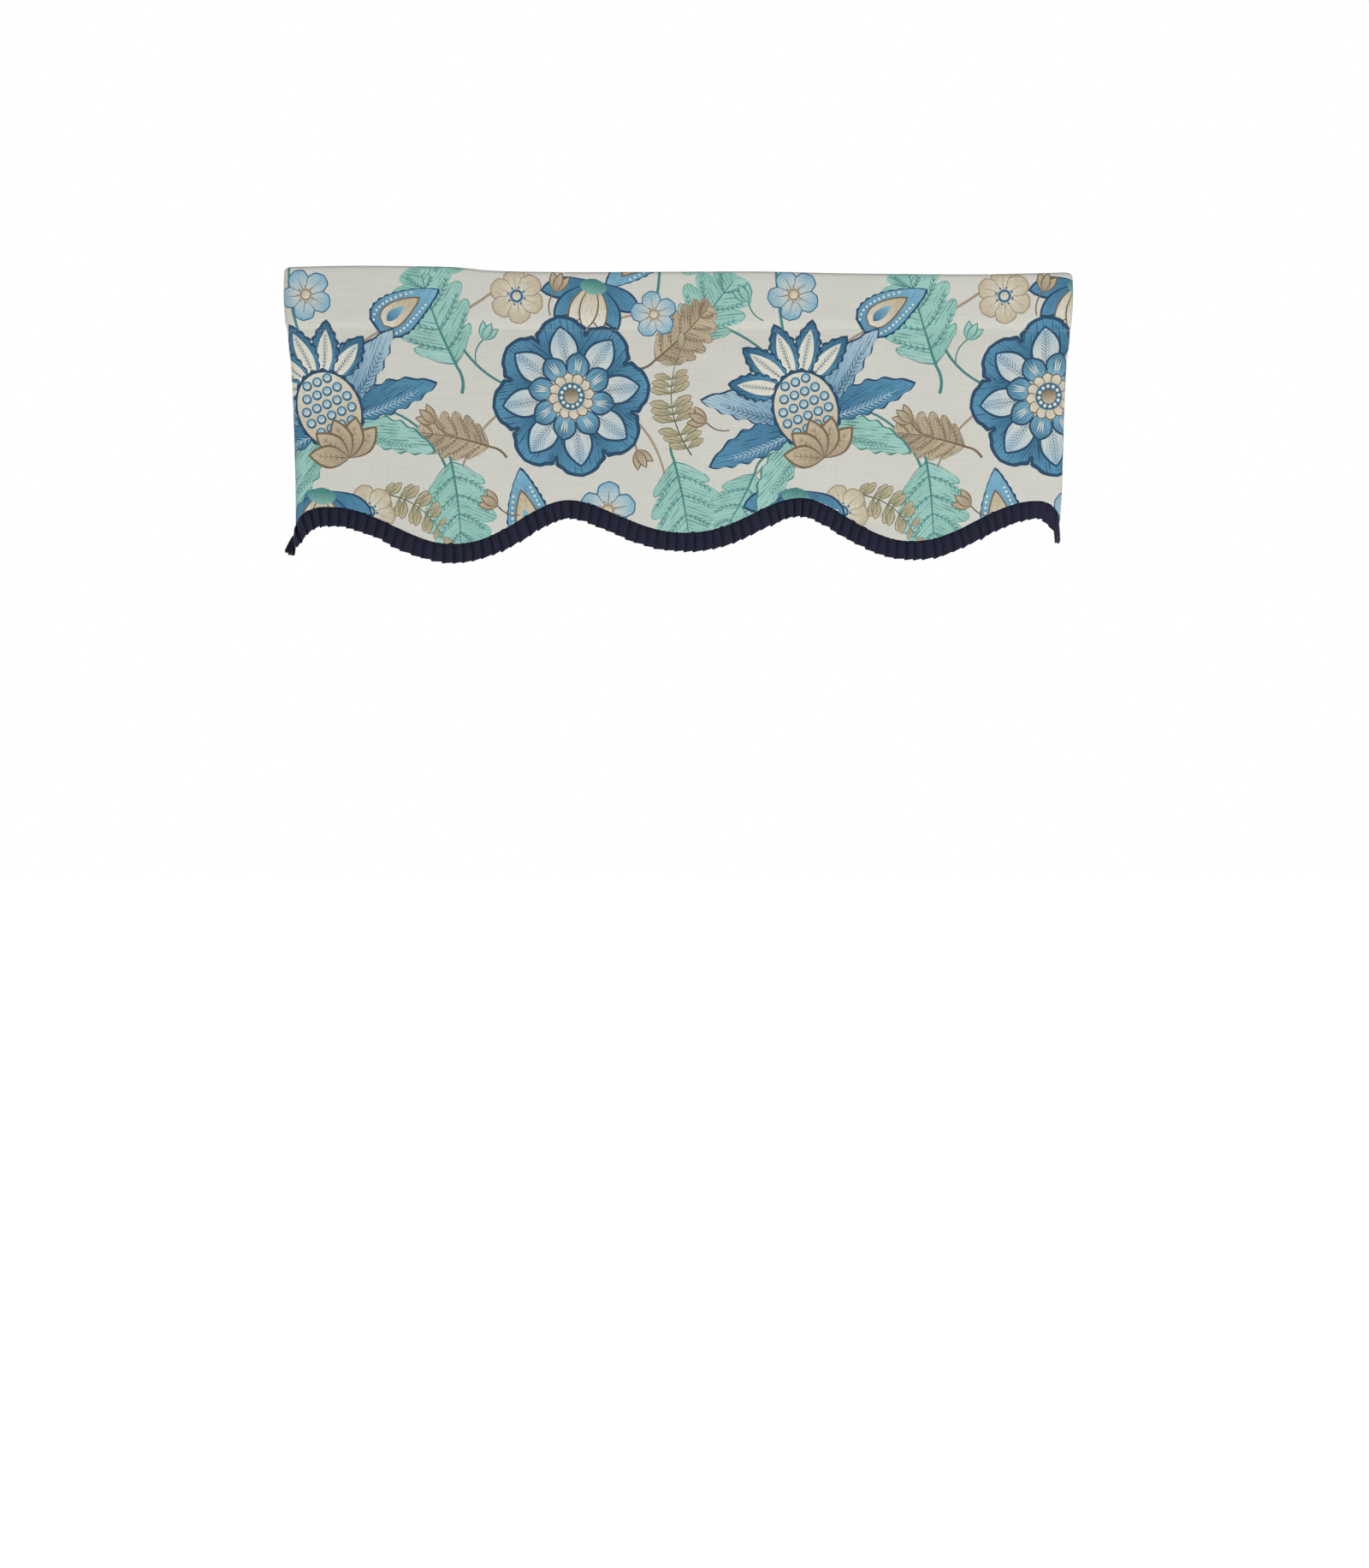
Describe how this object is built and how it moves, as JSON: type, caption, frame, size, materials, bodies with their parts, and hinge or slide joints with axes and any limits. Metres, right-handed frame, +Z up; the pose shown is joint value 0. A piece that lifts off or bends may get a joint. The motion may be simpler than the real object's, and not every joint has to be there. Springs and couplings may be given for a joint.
{
  "type": "window valance",
  "caption": "Flat window valance with a rod pocket heading, returns at both ends, a wave-shaped lower edge and a knife-pleated ruffle trim.",
  "frame": {"origin": "middle of the rod pocket's top fold, in the pocket's middle plane", "axes": "+X along the window to the right seen from the room, the front faces -Y and the wall is on the +Y side, +Z up"},
  "size_m": [1.1315, 0.0826, 0.4243],
  "materials": {
    "printed_cloth": "off-white linen-look cloth with a floral print on its right side and a plain, paler reverse, matt",
    "ruffle": "navy plain-weave cotton, matt"
  },
  "bodies": {
    "root": {"front_cloth": "printed_cloth", "left_return_cloth": "printed_cloth", "right_return_cloth": "printed_cloth", "front_pocket": "printed_cloth", "left_return_pocket": "printed_cloth", "right_return_pocket": "printed_cloth", "front_ruffle": "ruffle", "left_return_ruffle": "ruffle", "right_return_ruffle": "ruffle"}
  },
  "joints": []
}
